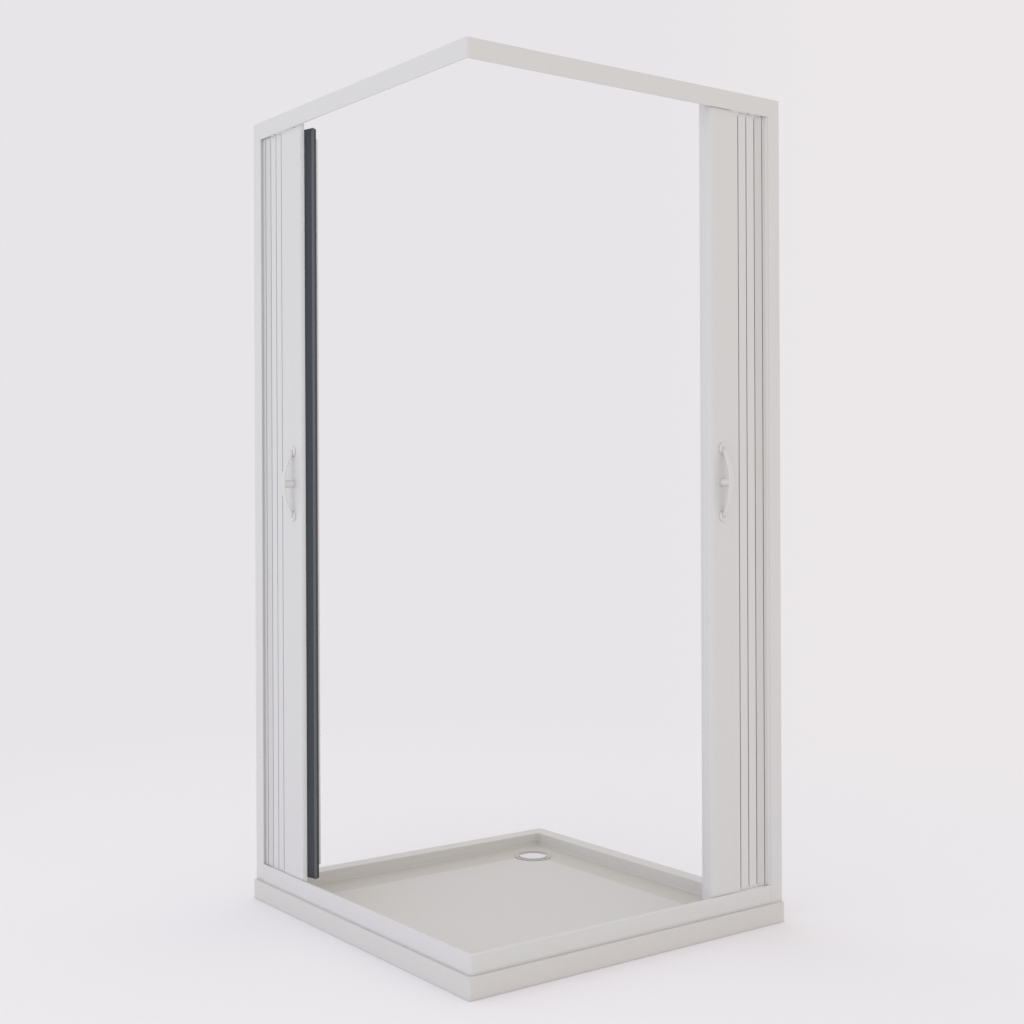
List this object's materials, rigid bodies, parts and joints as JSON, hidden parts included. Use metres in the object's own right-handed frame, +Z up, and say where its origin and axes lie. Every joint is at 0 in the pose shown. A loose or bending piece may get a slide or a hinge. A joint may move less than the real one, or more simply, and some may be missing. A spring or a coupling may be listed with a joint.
{
  "type": "corner concertina shower enclosure",
  "caption": "Corner-entry shower enclosure: square tray with waste, wall posts, top rails, bottom tracks and two folding slatted leaves that slide open to the walls",
  "frame": {"origin": "middle of the tray's underside", "axes": "+Z up; the walls are at +X and +Y, the front corner at -X, -Y"},
  "size_m": [0.9105, 0.9105, 1.896],
  "materials": {
    "white_pvc": "satin white extrusion",
    "slat_pvc": "satin white extrusion",
    "white_moulding": "satin white moulding",
    "tray_acrylic": "satin white acrylic",
    "dark_seal": "soft black seal",
    "waste_seal_rubber": "black ring",
    "waste_plastic": "moulded grey",
    "waste_chrome": "polished",
    "glider_nylon": "moulded",
    "screw_steel": "plated"
  },
  "bodies": {
    "enclosure_frame": {"shower_tray": "tray_acrylic", "waste_body": "waste_plastic", "waste_seal": "waste_seal_rubber", "waste_cover": "waste_chrome", "left_top_rail": "white_pvc", "right_top_rail": "white_pvc", "left_bottom_track": "white_pvc", "right_bottom_track": "white_pvc", "left_wall_post": "white_pvc", "right_wall_post": "white_pvc", "left_rail_cap": "white_moulding", "right_rail_cap": "white_moulding", "top_corner_joiner": "glider_nylon", "bottom_corner_joiner": "glider_nylon", "corner_screws": "screw_steel"},
    "left_slat_1": {"left_slat_1": "slat_pvc"},
    "left_slat_2": {"left_slat_2": "slat_pvc"},
    "left_slat_3": {"left_slat_3": "slat_pvc"},
    "left_slat_4": {"left_slat_4": "slat_pvc"},
    "left_slat_5": {"left_slat_5": "slat_pvc"},
    "left_slat_6": {"left_slat_6": "slat_pvc"},
    "left_slat_7": {"left_slat_7": "slat_pvc"},
    "left_slat_8": {"left_slat_8": "slat_pvc"},
    "left_lead_stile": {"left_stile": "white_pvc", "left_top_glider": "glider_nylon", "left_bottom_glider": "glider_nylon", "left_handle": "white_moulding", "left_handle_screws": "screw_steel", "left_closing_profile": "dark_seal"},
    "left_cover_strip_1": {"left_cover_strip_1": "white_pvc"},
    "left_cover_strip_2": {"left_cover_strip_2": "white_pvc", "left_strip_hanger": "glider_nylon"},
    "left_cover_strip_3": {"left_cover_strip_3": "white_pvc"},
    "right_slat_1": {"right_slat_1": "slat_pvc"},
    "right_slat_2": {"right_slat_2": "slat_pvc"},
    "right_slat_3": {"right_slat_3": "slat_pvc"},
    "right_slat_4": {"right_slat_4": "slat_pvc"},
    "right_slat_5": {"right_slat_5": "slat_pvc"},
    "right_slat_6": {"right_slat_6": "slat_pvc"},
    "right_slat_7": {"right_slat_7": "slat_pvc"},
    "right_slat_8": {"right_slat_8": "slat_pvc"},
    "right_lead_stile": {"right_stile": "white_pvc", "right_top_glider": "glider_nylon", "right_bottom_glider": "glider_nylon", "right_handle": "white_moulding", "right_handle_screws": "screw_steel", "right_catch_strip": "white_pvc"},
    "right_cover_strip_1": {"right_cover_strip_1": "white_pvc"},
    "right_cover_strip_2": {"right_cover_strip_2": "white_pvc", "right_strip_hanger": "glider_nylon"},
    "right_cover_strip_3": {"right_cover_strip_3": "white_pvc"}
  },
  "joints": [
    {"name": "left_leaf_fold", "type": "hinge", "parent": "enclosure_frame", "child": "left_slat_1", "pos_m": [-0.4308, 0.4125, 0], "axis": [0, 0, -1], "range_deg": [0, 73.55]},
    {"name": "left_slat_2_hinge", "type": "hinge", "parent": "left_slat_1", "child": "left_slat_2", "pos_m": [-0.33878, 0.3995, 0], "axis": [0, 0, -1], "range_deg": [-148.09, 1]},
    {"name": "left_slat_3_hinge", "type": "hinge", "parent": "left_slat_2", "child": "left_slat_3", "pos_m": [-0.4308, 0.3865, 0], "axis": [0, 0, -1], "range_deg": [-1, 148.09]},
    {"name": "left_slat_4_hinge", "type": "hinge", "parent": "left_slat_3", "child": "left_slat_4", "pos_m": [-0.33878, 0.3735, 0], "axis": [0, 0, -1], "range_deg": [-148.09, 1]},
    {"name": "left_slat_5_hinge", "type": "hinge", "parent": "left_slat_4", "child": "left_slat_5", "pos_m": [-0.4308, 0.3605, 0], "axis": [0, 0, -1], "range_deg": [-1, 148.09]},
    {"name": "left_slat_6_hinge", "type": "hinge", "parent": "left_slat_5", "child": "left_slat_6", "pos_m": [-0.33878, 0.3475, 0], "axis": [0, 0, -1], "range_deg": [-148.09, 1]},
    {"name": "left_slat_7_hinge", "type": "hinge", "parent": "left_slat_6", "child": "left_slat_7", "pos_m": [-0.4308, 0.3345, 0], "axis": [0, 0, -1], "range_deg": [-1, 148.09]},
    {"name": "left_slat_8_hinge", "type": "hinge", "parent": "left_slat_7", "child": "left_slat_8", "pos_m": [-0.33878, 0.3215, 0], "axis": [0, 0, -1], "range_deg": [-148.09, 1]},
    {"name": "left_lead_stile_hinge", "type": "hinge", "parent": "left_slat_8", "child": "left_lead_stile", "pos_m": [-0.4308, 0.3085, 0], "axis": [0, 0, -1], "range_deg": [-1, 74.55]},
    {"name": "left_cover_strip_1_hinge", "type": "hinge", "parent": "left_slat_3", "child": "left_cover_strip_1", "pos_m": [-0.4308, 0.3865, 0], "axis": [0, 0, -1], "range_deg": [-74.55, 1]},
    {"name": "left_cover_strip_2_hinge", "type": "hinge", "parent": "left_slat_5", "child": "left_cover_strip_2", "pos_m": [-0.4308, 0.3605, 0], "axis": [0, 0, -1], "range_deg": [-74.55, 1]},
    {"name": "left_cover_strip_3_hinge", "type": "hinge", "parent": "left_slat_7", "child": "left_cover_strip_3", "pos_m": [-0.4308, 0.3345, 0], "axis": [0, 0, -1], "range_deg": [-74.55, 1]},
    {"name": "right_leaf_fold", "type": "hinge", "parent": "enclosure_frame", "child": "right_slat_1", "pos_m": [0.4125, -0.4308, 0], "axis": [0, 0, 1], "range_deg": [0, 73.55]},
    {"name": "right_slat_2_hinge", "type": "hinge", "parent": "right_slat_1", "child": "right_slat_2", "pos_m": [0.3995, -0.33878, 0], "axis": [0, 0, 1], "range_deg": [-148.09, 1]},
    {"name": "right_slat_3_hinge", "type": "hinge", "parent": "right_slat_2", "child": "right_slat_3", "pos_m": [0.3865, -0.4308, 0], "axis": [0, 0, 1], "range_deg": [-1, 148.09]},
    {"name": "right_slat_4_hinge", "type": "hinge", "parent": "right_slat_3", "child": "right_slat_4", "pos_m": [0.3735, -0.33878, 0], "axis": [0, 0, 1], "range_deg": [-148.09, 1]},
    {"name": "right_slat_5_hinge", "type": "hinge", "parent": "right_slat_4", "child": "right_slat_5", "pos_m": [0.3605, -0.4308, 0], "axis": [0, 0, 1], "range_deg": [-1, 148.09]},
    {"name": "right_slat_6_hinge", "type": "hinge", "parent": "right_slat_5", "child": "right_slat_6", "pos_m": [0.3475, -0.33878, 0], "axis": [0, 0, 1], "range_deg": [-148.09, 1]},
    {"name": "right_slat_7_hinge", "type": "hinge", "parent": "right_slat_6", "child": "right_slat_7", "pos_m": [0.3345, -0.4308, 0], "axis": [0, 0, 1], "range_deg": [-1, 148.09]},
    {"name": "right_slat_8_hinge", "type": "hinge", "parent": "right_slat_7", "child": "right_slat_8", "pos_m": [0.3215, -0.33878, 0], "axis": [0, 0, 1], "range_deg": [-148.09, 1]},
    {"name": "right_lead_stile_hinge", "type": "hinge", "parent": "right_slat_8", "child": "right_lead_stile", "pos_m": [0.3085, -0.4308, 0], "axis": [0, 0, 1], "range_deg": [-1, 74.55]},
    {"name": "right_cover_strip_1_hinge", "type": "hinge", "parent": "right_slat_3", "child": "right_cover_strip_1", "pos_m": [0.3865, -0.4308, 0], "axis": [0, 0, 1], "range_deg": [-74.55, 1]},
    {"name": "right_cover_strip_2_hinge", "type": "hinge", "parent": "right_slat_5", "child": "right_cover_strip_2", "pos_m": [0.3605, -0.4308, 0], "axis": [0, 0, 1], "range_deg": [-74.55, 1]},
    {"name": "right_cover_strip_3_hinge", "type": "hinge", "parent": "right_slat_7", "child": "right_cover_strip_3", "pos_m": [0.3345, -0.4308, 0], "axis": [0, 0, 1], "range_deg": [-74.55, 1]}
  ],
  "couplings": [
    {"joint": "left_slat_2_hinge", "follows": "left_leaf_fold", "ratio": -2},
    {"joint": "left_slat_3_hinge", "follows": "left_leaf_fold", "ratio": 2},
    {"joint": "left_slat_4_hinge", "follows": "left_leaf_fold", "ratio": -2},
    {"joint": "left_slat_5_hinge", "follows": "left_leaf_fold", "ratio": 2},
    {"joint": "left_slat_6_hinge", "follows": "left_leaf_fold", "ratio": -2},
    {"joint": "left_slat_7_hinge", "follows": "left_leaf_fold", "ratio": 2},
    {"joint": "left_slat_8_hinge", "follows": "left_leaf_fold", "ratio": -2},
    {"joint": "left_lead_stile_hinge", "follows": "left_leaf_fold", "ratio": 1},
    {"joint": "left_cover_strip_1_hinge", "follows": "left_leaf_fold", "ratio": -1},
    {"joint": "left_cover_strip_2_hinge", "follows": "left_leaf_fold", "ratio": -1},
    {"joint": "left_cover_strip_3_hinge", "follows": "left_leaf_fold", "ratio": -1},
    {"joint": "right_slat_2_hinge", "follows": "right_leaf_fold", "ratio": -2},
    {"joint": "right_slat_3_hinge", "follows": "right_leaf_fold", "ratio": 2},
    {"joint": "right_slat_4_hinge", "follows": "right_leaf_fold", "ratio": -2},
    {"joint": "right_slat_5_hinge", "follows": "right_leaf_fold", "ratio": 2},
    {"joint": "right_slat_6_hinge", "follows": "right_leaf_fold", "ratio": -2},
    {"joint": "right_slat_7_hinge", "follows": "right_leaf_fold", "ratio": 2},
    {"joint": "right_slat_8_hinge", "follows": "right_leaf_fold", "ratio": -2},
    {"joint": "right_lead_stile_hinge", "follows": "right_leaf_fold", "ratio": 1},
    {"joint": "right_cover_strip_1_hinge", "follows": "right_leaf_fold", "ratio": -1},
    {"joint": "right_cover_strip_2_hinge", "follows": "right_leaf_fold", "ratio": -1},
    {"joint": "right_cover_strip_3_hinge", "follows": "right_leaf_fold", "ratio": -1}
  ]
}
